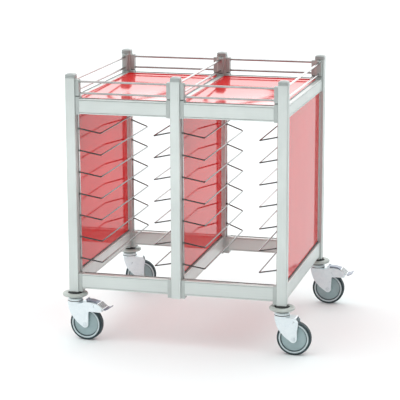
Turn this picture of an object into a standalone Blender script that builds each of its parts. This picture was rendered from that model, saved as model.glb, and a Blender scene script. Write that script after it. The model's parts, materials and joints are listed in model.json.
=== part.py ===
"""Double-bay tray trolley: an aluminium frame with red panels, wire runners and four swivel casters.

Metres, +Z up, front of the trolley towards -Y. The floor is z = 0 and the origin is the
centre of the bounding box's base.
"""
import math

import bmesh
import bpy
from mathutils import Matrix, Vector

GAP = 0.0003                # clearance between touching pieces
OVERCUT = 0.010             # how far a cutter runs past the piece that it cuts

# Frame
BAY_PITCH = 0.390           # between neighbouring post centres, across the front
DEPTH = 0.716               # front face to rear face of the posts
POST_WIDTH = 0.036
POST_DEPTH = 0.034
POST_FOOT = 0.182           # floor to the bottom of the posts
POST_LENGTH = 0.792
POST_WALL = 0.0025
POST_CORNER = 0.003
GROOVE_WIDTH = 0.006        # side grooves of the post
GROOVE_DEPTH = 0.004
SLOT_WIDTH = 0.0046         # panel slot of the post
SLOT_DEPTH = 0.006

# Rails, measured up from the bottom of the posts
BOTTOM_RAIL = (0.013, 0.068)
TOP_RAIL = (0.664, 0.718)
SIDE_TOP_RAIL = (0.673, 0.718)
BLOCK_TOP = 0.726           # top of the rail end blocks beside the posts
BLOCK_DROP = 0.003          # the top end blocks reach this far below their rail
BLOCK_LENGTH = 0.014
BLOCK_PROUD = 0.0005        # the end blocks stand this far out from the rail's faces
RAIL_IN_BLOCK = 0.002       # how far the rail stops short of the block's outer end
RAIL_WALL = 0.003
RAIL_CORNER = 0.0015
FRONT_RAIL_DEPTH = 0.034
FRONT_RAIL_INSET = 0.004    # from the post's front face
SIDE_RAIL_WIDTH = 0.024

# Galleries above the shelves
BRACKET_HEIGHT = 0.062
BRACKET_CORNER = 0.002
FRONT_BRACKET_DEPTH = 0.024
SIDE_BRACKET_WIDTH = 0.020
GALLERY_ROD_RADIUS = 0.004
GALLERY_HEIGHTS = (0.738, 0.780)

# Panels and shelves
PANEL_THICKNESS = 0.004
PANEL_IN_SLOT = 0.005
PANEL_UNDER_RAIL = 0.011    # how far a panel reaches up inside the top rail
SHELF_SHEET = 0.003
SHELF_SKIRT = 0.028
SHELF_RIM = 0.006           # width of the flat rim, which lies level with the rails
SHELF_LIP = 0.0035          # from the rim down to the floor
SHELF_FLOOR = 0.7145        # upper surface of the shelf, above the bottom of the posts
SHELF_CORNER = 0.010

# Wire runners
RUNNER_LEVELS = 7
RUNNER_PITCH = 0.0805
LOWEST_RUNNER = 0.103       # above the bottom of the posts
RUNNER_RISE = 0.020         # from the run up to where the wire meets the upright
RUNNER_REACH = 0.094        # from the post centre to the run
RUNNER_BEND = 0.005         # how far each side of the corner the bend reaches
RUNNER_SETBACK = 0.056      # from the front face to the bend of the wire
WIRE_RADIUS = 0.0025
UPRIGHT_RADIUS = 0.003
UPRIGHT_OFFSET = 0.0215
UPRIGHT_SETBACK = 0.030

# Casters, heights above the floor and reach behind the swivel axis
WHEEL_RADIUS = 0.0625
TRAIL = 0.045
TYRE_WIDTH = 0.030
TYRE_FACETS = 30
TYRE_THICKNESS = 0.0075
WHEEL_PLAY = 0.001          # between the hub's end and the fork leg
FORK_HALF_WIDTH = 0.0225
FORK_SHEET = 0.003
CROWN = 0.141               # top of the fork's crown plate
FORK_TIP_RADIUS = 0.0135
CUP_RADIUS = 0.0285
CUP_TOP = 0.1645
CUP_NECK = 0.018
BUMPER_RADIUS = 0.047
BUMPER = (0.165, 0.176)
BUMPER_NECK = 0.022         # radius of the collar between the disc and the post
STEM_IN_POST = 0.024
STEM_IN_CUP = 0.014
AXLE_RADIUS = 0.006
NUT_RADIUS = 0.0085
NUT_HEIGHT = 0.003
PIN_RADIUS = 0.008
PEDAL_REACH = 0.142
PEDAL_PIVOT = (0.047, 0.1505)
PEDAL_SHEET = 0.003
PEDAL_ARM = 0.0140          # half the width of the arm over the hood
PEDAL_TREAD = 0.0250        # half the width of the tread plate
PIVOT_RADIUS = 0.0025
PIVOT_BARREL = 0.0045
EAR_RADIUS = 0.0055
EARS = (0.0155, 0.0185)     # inner and outer face of each lug, from the middle of the fork

# Where each caster stands, which way its wheel trails in degrees, and whether it has a brake
CASTERS = {
    "front_left": (-1, -1, -5.0, True),
    "front_right": (1, -1, 0.0, False),
    "rear_left": (-1, 1, 15.0, False),
    "rear_right": (1, 1, 0.0, True),
}
COLUMNS = {"left": -1, "middle": 0, "right": 1}
BAYS = {"left": -1, "right": 1}

# The rear right pedal reaches further out than the left bumpers, and the box is centred on both
FRAME_X = (BUMPER_RADIUS - PEDAL_REACH) / 2
POST_Y = (DEPTH - POST_DEPTH) / 2


def clear_scene():
    for item in list(bpy.data.objects):
        bpy.data.objects.remove(item, do_unlink=True)


def material(name, colour, roughness, metallic):
    shader = bpy.data.materials.new(name)
    shader.use_nodes = True
    principled = shader.node_tree.nodes["Principled BSDF"]
    principled.inputs["Base Color"].default_value = (*colour, 1.0)
    principled.inputs["Roughness"].default_value = roughness
    principled.inputs["Metallic"].default_value = metallic
    return shader


def empty(name, parent=None, location=(0, 0, 0), turn=0.0):
    item = bpy.data.objects.new(name, None)
    bpy.context.collection.objects.link(item)
    item.parent = parent
    item.location = location
    item.rotation_euler = (0, 0, turn)
    return item


def place(name, mesh, shader, parent, location=(0, 0, 0), turn=0.0):
    """Put a mesh into the scene as a named sub-part."""
    item = bpy.data.objects.new(name, mesh)
    bpy.context.collection.objects.link(item)
    if not mesh.materials:
        mesh.materials.append(shader)
    item.parent = parent
    item.location = location
    item.rotation_euler = (0, 0, turn)
    return item


def finish(bm, sharp=35.0):
    """Turn a bmesh into a mesh with its faces out and its round sides smooth."""
    bmesh.ops.remove_doubles(bm, verts=bm.verts, dist=1e-6)
    bmesh.ops.recalc_face_normals(bm, faces=bm.faces)
    mesh = bpy.data.meshes.new("shape")
    bm.to_mesh(mesh)
    bm.free()
    mesh.shade_smooth()
    mesh.set_sharp_from_angle(angle=math.radians(sharp))
    return mesh


def combine(base, tool, operation):
    """Return base joined with (UNION) or cut by (DIFFERENCE) tool."""
    pair = [bpy.data.objects.new("operand", mesh) for mesh in (base, tool)]
    for item in pair:
        bpy.context.collection.objects.link(item)
    modifier = pair[0].modifiers.new("Boolean", "BOOLEAN")
    modifier.operation = operation
    modifier.solver = "EXACT"
    modifier.object = pair[1]
    depsgraph = bpy.context.evaluated_depsgraph_get()
    result = bpy.data.meshes.new_from_object(pair[0].evaluated_get(depsgraph))
    for item in pair:
        bpy.data.objects.remove(item, do_unlink=True)
    result.shade_smooth()
    result.set_sharp_from_angle(angle=math.radians(35.0))
    return result


def arc(centre, radius, start, end, steps):
    """Points on a circle from one angle to another, in degrees."""
    points = []
    for step in range(steps + 1):
        angle = math.radians(start + (end - start) * step / steps)
        points.append((centre[0] + radius * math.cos(angle), centre[1] + radius * math.sin(angle)))
    return points


def rounded_rectangle(width, height, radius, steps=2, centre=(0.0, 0.0)):
    points = []
    for quarter, (sx, sy) in enumerate(((1, 1), (-1, 1), (-1, -1), (1, -1))):
        corner = (centre[0] + sx * (width / 2 - radius), centre[1] + sy * (height / 2 - radius))
        points += arc(corner, radius, 90 * quarter, 90 * quarter + 90, steps)
    return points


def sweep_plane(plane, along, a, b):
    """The point at (a, b) in a named plane, at a distance along its normal."""
    return {"XY": (a, b, along), "YZ": (along, a, b), "XZ": (a, along, b)}[plane]


def add_prism(bm, outline, plane, start, end):
    """Extrude a closed outline from start to end along the normal of its plane."""
    rings = []
    for along in (start, end):
        rings.append([bm.verts.new(sweep_plane(plane, along, a, b)) for a, b in outline])
    bm.faces.new(rings[0])
    bm.faces.new(rings[1])
    join_rings(bm, rings[0], rings[1])


def join_rings(bm, first, second):
    count = len(first)
    for i in range(count):
        j = (i + 1) % count
        bm.faces.new((first[i], first[j], second[j], second[i]))


def prism(outline, plane, start, end):
    bm = bmesh.new()
    add_prism(bm, outline, plane, start, end)
    return finish(bm)


def lathe(profile, steps, axis="Z", closed=False):
    """Turn a profile of (radius, height) points about the Z or the Y axis."""
    bm = bmesh.new()
    rings = []
    for radius, height in profile:
        if radius == 0:
            rings.append([bm.verts.new((0, 0, height))])
            continue
        ring = []
        for step in range(steps):
            angle = 2 * math.pi * step / steps
            ring.append(bm.verts.new((radius * math.cos(angle), radius * math.sin(angle), height)))
        rings.append(ring)
    pairs = list(zip(rings, rings[1:]))
    if closed:
        pairs.append((rings[-1], rings[0]))
    for first, second in pairs:
        for i in range(steps):
            j = (i + 1) % steps
            corners = [first[i % len(first)], first[j % len(first)],
                       second[j % len(second)], second[i % len(second)]]
            bm.faces.new(list(dict.fromkeys(corners)))
    if axis == "Y":
        bmesh.ops.transform(bm, matrix=Matrix.Rotation(math.radians(90), 4, "X"), verts=bm.verts)
    return finish(bm)


def add_tube(bm, path, radius, sides):
    """A round bar along a path, with its bends mitred."""
    points = [Vector(point) for point in path]
    up = Vector((0, 0, 1))
    if abs((points[-1] - points[0]).normalized().z) > 0.9:
        up = Vector((0, 1, 0))
    rings = []
    for i, point in enumerate(points):
        before = (point - points[i - 1]).normalized() if i > 0 else None
        after = (points[i + 1] - point).normalized() if i + 1 < len(points) else None
        if before is None:
            before = after
        if after is None:
            after = before
        forward = (before + after).normalized()
        side = forward.cross(up).normalized()
        top = side.cross(forward)
        stretch = 1 / max(0.5, forward.dot(before))
        ring = []
        for k in range(sides):
            angle = 2 * math.pi * (k + 0.5) / sides
            offset = side * (math.cos(angle) * stretch) + top * math.sin(angle)
            ring.append(bm.verts.new(point + offset * radius))
        rings.append(ring)
    bm.faces.new(rings[0])
    bm.faces.new(rings[-1])
    for first, second in zip(rings, rings[1:]):
        join_rings(bm, first, second)


# ---------------------------------------------------------------- frame

def post_outline():
    """The post's section: rounded, with a groove in each side and a panel slot in its +Y face."""
    w = POST_WIDTH / 2
    d = POST_DEPTH / 2
    groove_far = -d / 3
    groove_near = groove_far - GROOVE_WIDTH
    corners = [arc((sx * (w - POST_CORNER), sy * (d - POST_CORNER)), POST_CORNER, start, start + 90, 3)
               for sx, sy, start in ((1, 1, 0), (-1, 1, 90), (-1, -1, 180), (1, -1, 270))]
    slot = [(SLOT_WIDTH / 2, d), (SLOT_WIDTH / 2, d - SLOT_DEPTH),
            (-SLOT_WIDTH / 2, d - SLOT_DEPTH), (-SLOT_WIDTH / 2, d)]
    left = [(-w, groove_far), (-w + GROOVE_DEPTH, groove_far),
            (-w + GROOVE_DEPTH, groove_near), (-w, groove_near)]
    right = [(-x, y) for x, y in reversed(left)]
    return corners[0] + slot + corners[1] + left + corners[2] + corners[3] + right


def post_cavity():
    """The hollow inside the post, which keeps clear of the slot and the grooves."""
    x_wide = POST_WIDTH / 2 - POST_WALL
    x_narrow = x_wide - GROOVE_DEPTH
    y_back = POST_DEPTH / 2 - POST_WALL
    y_slot = y_back - SLOT_DEPTH
    x_slot = SLOT_WIDTH / 2 + POST_WALL
    y_groove = -POST_DEPTH / 6 + POST_WALL
    right = [(x_slot, y_slot), (x_slot, y_back), (x_wide, y_back), (x_wide, y_groove),
             (x_narrow, y_groove), (x_narrow, -y_back)]
    return right + [(-x, y) for x, y in reversed(right)]


def make_post():
    body = prism(post_outline(), "XY", 0, POST_LENGTH)
    hollow = prism(post_cavity(), "XY", -OVERCUT, POST_LENGTH + OVERCUT)
    return combine(body, hollow, "DIFFERENCE")


def make_cap():
    """A domed plastic cap with a plug that goes down into the post."""
    plug = (0.021, 0.018, 0.002, (0.0, -0.0025))
    sections = [(-0.014, plug), (GAP, plug)]
    for height, inset in ((GAP, 0.0), (0.0066, 0.0), (0.0070, 0.001), (0.0080, 0.001), (0.0084, 0.0),
                          (0.0130, 0.0008), (0.0158, 0.0040), (0.0172, 0.0100)):
        width = POST_WIDTH - 2 * inset
        depth = POST_DEPTH - 2 * inset
        sections.append((height, (width, depth, max(0.001, POST_CORNER + inset / 2), (0.0, 0.0))))
    bm = bmesh.new()
    rings = []
    for height, (width, depth, radius, centre) in sections:
        outline = rounded_rectangle(width, depth, radius, 2, centre)
        rings.append([bm.verts.new((x, y, height)) for x, y in outline])
    bm.faces.new(rings[0])
    bm.faces.new(rings[-1])
    for first, second in zip(rings, rings[1:]):
        join_rings(bm, first, second)
    return finish(bm)


def channel_outline(depth, bottom, top):
    """A rail's section: a box open below, with rounded upper corners."""
    half = depth / 2
    inner = half - RAIL_WALL
    edge = RAIL_CORNER
    return ([(half, bottom)] + arc((half - edge, top - edge), edge, 0, 90, 2)
            + arc((-half + edge, top - edge), edge, 90, 180, 2)
            + [(-half, bottom), (-inner, bottom), (-inner, top - RAIL_WALL),
               (inner, top - RAIL_WALL), (inner, bottom)])


def make_rail(length, depth, heights, blocks):
    """A rail along X with an end block at each post. Heights are (bottom, top) pairs."""
    half = length / 2 - GAP
    reach = half - RAIL_IN_BLOCK
    rail = prism(channel_outline(depth, *heights), "YZ", -reach, reach)
    bm = bmesh.new()
    outline = rounded_rectangle(depth + 2 * BLOCK_PROUD, blocks[1] - blocks[0], RAIL_CORNER, 2,
                                (0.0, (blocks[0] + blocks[1]) / 2))
    for side in (-1, 1):
        add_prism(bm, outline, "YZ", side * half, side * (half - BLOCK_LENGTH))
    return combine(rail, finish(bm), "UNION")


def make_gallery(length, depth):
    """Two rods along X between brackets that stand on the rail's end blocks."""
    half = length / 2 - GAP
    bm = bmesh.new()
    middle = BLOCK_TOP + GAP + BRACKET_HEIGHT / 2
    outline = rounded_rectangle(depth, BRACKET_HEIGHT, BRACKET_CORNER, 2, (0.0, middle))
    for side in (-1, 1):
        add_prism(bm, outline, "YZ", side * half, side * (half - BLOCK_LENGTH))
    brackets = finish(bm)
    bm = bmesh.new()
    reach = half - BLOCK_LENGTH / 2
    for height in GALLERY_HEIGHTS:
        add_tube(bm, [(-reach, 0, height), (reach, 0, height)], GALLERY_ROD_RADIUS, 8)
    return combine(brackets, finish(bm), "UNION")


def make_panel():
    """A flat sheet in the YZ plane, notched at the top for the rail's end blocks."""
    half = DEPTH / 2 - POST_DEPTH + PANEL_IN_SLOT
    notch = DEPTH / 2 - POST_DEPTH - BLOCK_LENGTH - 2 * GAP
    shoulder = SIDE_TOP_RAIL[0] - BLOCK_DROP - GAP
    top = SIDE_TOP_RAIL[0] + PANEL_UNDER_RAIL
    bottom = BOTTOM_RAIL[1] + GAP
    right = [(half, bottom), (half, shoulder), (notch, shoulder), (notch, top)]
    outline = right + [(-y, z) for y, z in reversed(right)]
    return prism(outline, "YZ", -PANEL_THICKNESS / 2, PANEL_THICKNESS / 2)


def sink(bm, face, inset, depth):
    """Press a pocket into a face, leaving a rim."""
    bmesh.ops.inset_region(bm, faces=[face], thickness=inset, use_even_offset=True)
    direction = face.normal.copy()
    for vert in face.verts:
        vert.co -= direction * depth


def make_shelf():
    """A shallow pressed tray with a flat rim above its floor and a skirt below it."""
    width = BAY_PITCH - SIDE_RAIL_WIDTH - 2 * GAP
    depth = DEPTH - 2 * (FRONT_RAIL_INSET + FRONT_RAIL_DEPTH + GAP)
    low = SHELF_FLOOR - SHELF_SKIRT
    high = SHELF_FLOOR + SHELF_LIP
    bm = bmesh.new()
    add_prism(bm, rounded_rectangle(width, depth, SHELF_CORNER, 4), "XY", low, high)
    bmesh.ops.recalc_face_normals(bm, faces=bm.faces)
    caps = [face for face in bm.faces if len(face.verts) > 4]
    underside, top = sorted(caps, key=lambda face: face.calc_center_median().z)
    sink(bm, underside, SHELF_SHEET, SHELF_SKIRT - SHELF_SHEET)
    sink(bm, top, SHELF_RIM, SHELF_LIP)
    return finish(bm)


# ---------------------------------------------------------------- wire runners

def runner_path(height):
    """One wire, from the front upright in to the run, back, and out to the rear upright."""
    run_x = RUNNER_REACH - UPRIGHT_OFFSET
    bend_y = DEPTH / 2 - RUNNER_SETBACK
    end_y = DEPTH / 2 - UPRIGHT_SETBACK
    corner = Vector((run_x, -bend_y, height))
    leg = (Vector((0, -end_y, height + RUNNER_RISE)) - corner).normalized()
    run = Vector((0, 1, 0))
    half = [Vector((0, -end_y, height + RUNNER_RISE))]
    half += [corner + leg * RUNNER_BEND, corner + run * RUNNER_BEND]
    rear = [Vector((point.x, -point.y, point.z)) for point in reversed(half)]
    return half + rear


def make_rack(side):
    """Seven wires on a front and a rear upright. Side +1 reaches towards +X."""
    bm = bmesh.new()
    bottom = BOTTOM_RAIL[1] + GAP
    top = TOP_RAIL[0] - BLOCK_DROP - GAP
    end_y = DEPTH / 2 - UPRIGHT_SETBACK
    for y in (-end_y, end_y):
        add_tube(bm, [(0, y, bottom), (0, y, top)], UPRIGHT_RADIUS, 8)
    uprights = finish(bm)
    bm = bmesh.new()
    for level in range(RUNNER_LEVELS):
        path = runner_path(LOWEST_RUNNER + level * RUNNER_PITCH)
        add_tube(bm, [(side * point.x, point.y, point.z) for point in path], WIRE_RADIUS, 6)
    return combine(uprights, finish(bm), "UNION")


# ---------------------------------------------------------------- casters

def make_bumper():
    """A round bumper disc with the stem that goes up into the post and down into the swivel head."""
    low, high = BUMPER
    rim = (high - low) / 2
    edge = arc((BUMPER_RADIUS - rim, (low + high) / 2), rim, -90, 90, 4)
    stem_foot = CUP_TOP - STEM_IN_CUP
    stem_top = POST_FOOT + STEM_IN_POST
    profile = [(0, stem_foot), (PIN_RADIUS, stem_foot), (PIN_RADIUS, low)] + edge
    profile += [(BUMPER_NECK, high), (BUMPER_NECK, POST_FOOT - GAP), (PIN_RADIUS, POST_FOOT - GAP),
                (PIN_RADIUS, stem_top), (0, stem_top)]
    return lathe(profile, 24)


def fork_outline(braked):
    """Side view of a fork leg; the braked one carries a hood over the wheel."""
    leading = [(-0.025, CROWN), (-0.020, 0.128), (-0.010, 0.096), (0.012, 0.070)]
    tip = arc((TRAIL, WHEEL_RADIUS), FORK_TIP_RADIUS, 225, 360, 6)
    if braked:
        hood = [(0.060, 0.112), (0.113, 0.112), (0.113, 0.120), (0.108, 0.130), (0.098, 0.138),
                (0.082, 0.144), (0.060, 0.146), (0.040, 0.144), (0.034, CROWN)]
        return leading + tip + hood
    return leading + tip + [(0.060, 0.100), (0.062, 0.128), (0.056, 0.137), (0.045, CROWN)]


def fork_inside(braked):
    """Side view of the space between the legs, open below, ahead and behind the wheel."""
    under = CROWN - FORK_SHEET
    ahead = [(-0.0215, under), (-0.012, 0.108), (-0.040, 0.108), (-0.040, 0.030)]
    if braked:
        return ahead + [(0.110, 0.030), (0.110, 0.120), (0.1055, 0.128), (0.0965, 0.1352),
                        (0.0815, 0.141), (0.060, 0.143), (0.041, 0.1412), (0.035, under)]
    return ahead + [(0.130, 0.030), (0.130, under)]


def make_fork(braked):
    """Fork, swivel head and axle as one welded piece, about the swivel axis."""
    body = prism(fork_outline(braked), "XZ", -FORK_HALF_WIDTH, FORK_HALF_WIDTH)
    inner = FORK_HALF_WIDTH - FORK_SHEET
    body = combine(body, prism(fork_inside(braked), "XZ", -inner, inner), "DIFFERENCE")
    body = combine(body, swivel_head(), "UNION")
    body = combine(body, axle(inner), "UNION")
    if braked:
        body = combine(body, pedal_ears(), "UNION")
        x, z = PEDAL_PIVOT
        radius = PIVOT_RADIUS + GAP
        reach = EARS[1] + OVERCUT
        hole = lathe([(0, -reach), (radius, -reach), (radius, reach), (0, reach)], 12, "Y")
        hole.transform(Matrix.Translation((x, 0, z)))
        body = combine(body, hole, "DIFFERENCE")
    return body


def swivel_head():
    """The cup on the fork's crown, with the bore that the stem turns in."""
    bore = PIN_RADIUS + GAP
    bore_foot = CUP_TOP - STEM_IN_CUP - 0.0015
    shoulder = CROWN + 0.012
    return lathe([(0, CROWN - 0.002), (CUP_RADIUS, CROWN - 0.002), (CUP_RADIUS, shoulder),
                  (CUP_RADIUS - 0.004, shoulder + 0.005), (CUP_NECK, shoulder + 0.007),
                  (CUP_NECK, CUP_TOP), (bore, CUP_TOP), (bore, bore_foot), (0, bore_foot)], 18)


def axle(inner):
    """The axle bolt, with a nut outside each fork leg."""
    outer = FORK_HALF_WIDTH + NUT_HEIGHT
    half = [(AXLE_RADIUS, inner), (NUT_RADIUS, inner), (NUT_RADIUS, outer), (0, outer)]
    bolt = lathe([(radius, -height) for radius, height in reversed(half)] + half, 16, "Y")
    bolt.transform(Matrix.Translation((TRAIL, 0, WHEEL_RADIUS)))
    return bolt


def pedal_ears():
    """Two lugs on the hood that hold the pedal's pivot."""
    x, z = PEDAL_PIVOT
    foot = CROWN + 0.002
    outline = [(x - 0.007, foot), (x + 0.007, foot)] + arc((x, z), EAR_RADIUS, 0, 180, 6)
    bm = bmesh.new()
    for side in (-1, 1):
        add_prism(bm, outline, "XZ", side * EARS[0], side * EARS[1])
    return finish(bm)


def make_pedal():
    """A sheet lever over the hood, with a wide tread plate and an upturned toe."""
    x, z = PEDAL_PIVOT
    path = [(x, z + 0.001, PEDAL_ARM), (0.070, 0.1520, PEDAL_ARM), (0.088, 0.1475, PEDAL_ARM),
            (0.098, 0.1420, PEDAL_TREAD), (0.118, 0.1265, PEDAL_TREAD), (0.126, 0.1240, PEDAL_TREAD),
            (PEDAL_REACH - 0.0008, 0.1310, PEDAL_TREAD - 0.0020)]
    bm = bmesh.new()
    rings = []
    for i, (px, pz, half) in enumerate(path):
        behind = path[max(0, i - 1)]
        ahead = path[min(len(path) - 1, i + 1)]
        slope = Vector((ahead[0] - behind[0], 0, ahead[1] - behind[1])).normalized()
        normal = Vector((-slope.z, 0, slope.x)) * PEDAL_SHEET / 2
        middle = Vector((px, 0, pz))
        side = Vector((0, half, 0))
        under = (middle - normal - side, middle - normal + side)
        over = (middle + normal + side, middle + normal - side)
        rings.append([bm.verts.new(corner) for corner in under + over])
    bm.faces.new(rings[0])
    bm.faces.new(rings[-1])
    for first, second in zip(rings, rings[1:]):
        join_rings(bm, first, second)
    sheet = finish(bm)
    shoulder = EARS[0] - 0.0005
    half = [(PIVOT_BARREL, shoulder), (PIVOT_RADIUS, shoulder), (PIVOT_RADIUS, EARS[1] - GAP),
            (0, EARS[1] - GAP)]
    barrel = lathe([(radius, -height) for radius, height in reversed(half)] + half, 12, "Y")
    barrel.transform(Matrix.Translation((x, 0, z)))
    return combine(sheet, barrel, "UNION")


def make_wheel_core():
    """Hub, web and rim turned about the axle, with a bore that clears it."""
    rim = WHEEL_RADIUS - TYRE_THICKNESS - GAP
    bore = AXLE_RADIUS + GAP
    hub = FORK_HALF_WIDTH - FORK_SHEET - WHEEL_PLAY
    half = [(bore, hub), (0.016, hub), (0.018, 0.0100), (0.046, 0.0085), (0.049, 0.0135),
            (rim, 0.0130)]
    profile = half + [(radius, -height) for radius, height in reversed(half)]
    return lathe(profile, 24, "Y", closed=True)


def make_tyre():
    """A solid rubber tyre with rounded shoulders, one of whose facets lies flat on the floor."""
    half = TYRE_WIDTH / 2
    side = [(WHEEL_RADIUS - TYRE_THICKNESS, half - 0.0020), (WHEEL_RADIUS - 0.004, half - 0.0005),
            (WHEEL_RADIUS - 0.001, half - 0.0045), (WHEEL_RADIUS, half - 0.0100)]
    profile = side + [(radius, -height) for radius, height in reversed(side)]
    facet = math.cos(math.pi / TYRE_FACETS)
    return lathe([(radius / facet, height) for radius, height in profile], TYRE_FACETS, "Y", closed=True)


# ---------------------------------------------------------------- assembly

def add_frame(root, metal, plastic):
    post = make_post()
    cap = make_cap()
    for column, cx in COLUMNS.items():
        for row, cy in (("front", -1), ("rear", 1)):
            turn = math.pi if cy > 0 else 0.0
            where = (cx * BAY_PITCH, cy * POST_Y, POST_FOOT)
            place(f"post_{row}_{column}", post, metal, root, where, turn)
            top = (where[0], where[1], POST_FOOT + POST_LENGTH)
            place(f"cap_{row}_{column}", cap, plastic, root, top, turn)


def add_rails(root, metal, chrome):
    bay = BAY_PITCH - POST_WIDTH
    span = DEPTH - 2 * POST_DEPTH
    top_blocks = (TOP_RAIL[0] - BLOCK_DROP, BLOCK_TOP)
    side_blocks = (SIDE_TOP_RAIL[0] - BLOCK_DROP, BLOCK_TOP)
    bottom_blocks = (GAP, BOTTOM_RAIL[1])
    rail_y = (DEPTH - FRONT_RAIL_DEPTH) / 2 - FRONT_RAIL_INSET
    deep = FRONT_RAIL_DEPTH - 2 * BLOCK_PROUD
    narrow = SIDE_RAIL_WIDTH - 2 * BLOCK_PROUD
    across = {
        "top_rail": (make_rail(bay, deep, TOP_RAIL, top_blocks), metal),
        "bottom_rail": (make_rail(bay, deep, BOTTOM_RAIL, bottom_blocks), metal),
        "gallery": (make_gallery(bay, FRONT_BRACKET_DEPTH), chrome),
    }
    along = {
        "top_rail": (make_rail(span, narrow, SIDE_TOP_RAIL, side_blocks), metal),
        "bottom_rail": (make_rail(span, narrow, BOTTOM_RAIL, bottom_blocks), metal),
        "gallery": (make_gallery(span, SIDE_BRACKET_WIDTH), chrome),
    }
    for kind, (mesh, shader) in across.items():
        y = POST_Y if kind == "gallery" else rail_y
        for bay_name, side in BAYS.items():
            for row, cy in (("front", -1), ("rear", 1)):
                where = (side * BAY_PITCH / 2, cy * y, POST_FOOT)
                place(f"{kind}_{row}_{bay_name}", mesh, shader, root, where)
    for kind, (mesh, shader) in along.items():
        for column, cx in COLUMNS.items():
            name = f"{kind}_side_{column}" if cx else f"{kind}_middle"
            place(name, mesh, shader, root, (cx * BAY_PITCH, 0, POST_FOOT), math.pi / 2)


def add_bays(root, red, chrome):
    panel = make_panel()
    for column, cx in COLUMNS.items():
        place(f"panel_{column}", panel, red, root, (cx * BAY_PITCH, 0, POST_FOOT))
    shelf = make_shelf()
    racks = {1: make_rack(1), -1: make_rack(-1)}
    for bay_name, side in BAYS.items():
        middle = side * BAY_PITCH / 2
        place(f"shelf_{bay_name}", shelf, red, root, (middle, 0, POST_FOOT))
        for facing, label in ((1, "left"), (-1, "right")):
            x = middle - facing * (BAY_PITCH / 2 - UPRIGHT_OFFSET)
            place(f"runners_{bay_name}_bay_{label}", racks[facing], chrome, root, (x, 0, POST_FOOT))


def add_casters(root, shaders):
    bumper = make_bumper()
    forks = {True: make_fork(True), False: make_fork(False)}
    core = make_wheel_core()
    tyre = make_tyre()
    pedal = make_pedal()
    for name, (cx, cy, turn, braked) in CASTERS.items():
        where = (cx * BAY_PITCH, cy * POST_Y, 0)
        place(f"bumper_{name}", bumper, shaders["bumper"], root, where)
        swivel = empty(f"swivel_{name}", root, where, math.radians(turn))
        place(f"fork_{name}", forks[braked], shaders["zinc"], swivel)
        place(f"wheel_core_{name}", core, shaders["core"], swivel, (TRAIL, 0, WHEEL_RADIUS))
        place(f"tyre_{name}", tyre, shaders["tyre"], swivel, (TRAIL, 0, WHEEL_RADIUS))
        if braked:
            pivot = empty(f"pedal_pivot_{name}", swivel, (PEDAL_PIVOT[0], 0, PEDAL_PIVOT[1]))
            back = (-PEDAL_PIVOT[0], 0, -PEDAL_PIVOT[1])
            place(f"brake_pedal_{name}", pedal, shaders["pedal"], pivot, back)


def build():
    clear_scene()
    metal = material("frame_aluminium", (0.62, 0.65, 0.63), 0.45, 0.6)
    plastic = material("cap_plastic", (0.50, 0.54, 0.52), 0.5, 0.0)
    chrome = material("wire_chrome", (0.80, 0.80, 0.80), 0.15, 1.0)
    red = material("panel_red", (0.70, 0.02, 0.03), 0.15, 0.0)
    shaders = {
        "bumper": material("bumper_rubber", (0.45, 0.48, 0.46), 0.6, 0.0),
        "zinc": material("fork_zinc", (0.82, 0.86, 0.90), 0.3, 1.0),
        "core": material("wheel_plastic", (0.30, 0.36, 0.39), 0.45, 0.0),
        "tyre": material("tyre_rubber", (0.06, 0.08, 0.09), 0.7, 0.0),
        "pedal": material("pedal_steel", (0.55, 0.55, 0.60), 0.4, 1.0),
    }
    root = empty("trolley", location=(FRAME_X, 0, 0))
    add_frame(root, metal, plastic)
    add_rails(root, metal, chrome)
    add_bays(root, red, chrome)
    add_casters(root, shaders)


build()
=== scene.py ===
"""Looks of the double-bay tray trolley: finer pieces, materials, floor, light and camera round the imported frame."""
import json
import math

import bmesh
import bpy
from mathutils import Matrix, Vector


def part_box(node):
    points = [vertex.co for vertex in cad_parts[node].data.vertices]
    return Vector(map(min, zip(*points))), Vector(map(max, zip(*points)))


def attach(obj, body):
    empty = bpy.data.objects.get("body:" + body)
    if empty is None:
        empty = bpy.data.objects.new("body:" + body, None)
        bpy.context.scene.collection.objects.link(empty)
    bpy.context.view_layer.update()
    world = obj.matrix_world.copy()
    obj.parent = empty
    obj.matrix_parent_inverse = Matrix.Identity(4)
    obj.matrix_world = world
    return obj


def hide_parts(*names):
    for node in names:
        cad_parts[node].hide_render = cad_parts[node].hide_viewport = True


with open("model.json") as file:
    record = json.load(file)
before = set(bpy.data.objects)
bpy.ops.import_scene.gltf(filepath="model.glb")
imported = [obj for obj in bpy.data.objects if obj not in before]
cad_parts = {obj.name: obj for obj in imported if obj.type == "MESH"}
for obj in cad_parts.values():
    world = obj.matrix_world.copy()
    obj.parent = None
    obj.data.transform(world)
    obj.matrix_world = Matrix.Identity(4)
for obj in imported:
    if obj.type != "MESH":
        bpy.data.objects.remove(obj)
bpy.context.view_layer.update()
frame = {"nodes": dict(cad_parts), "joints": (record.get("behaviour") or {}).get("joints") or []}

JOINTS = {joint["name"]: joint for joint in frame["joints"]}
COLUMNS = ("left", "middle", "right")
CASTERS = ("front_left", "front_right", "rear_left", "rear_right")
BRAKED = ("front_left", "rear_right")
GAP = 0.0003

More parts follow.
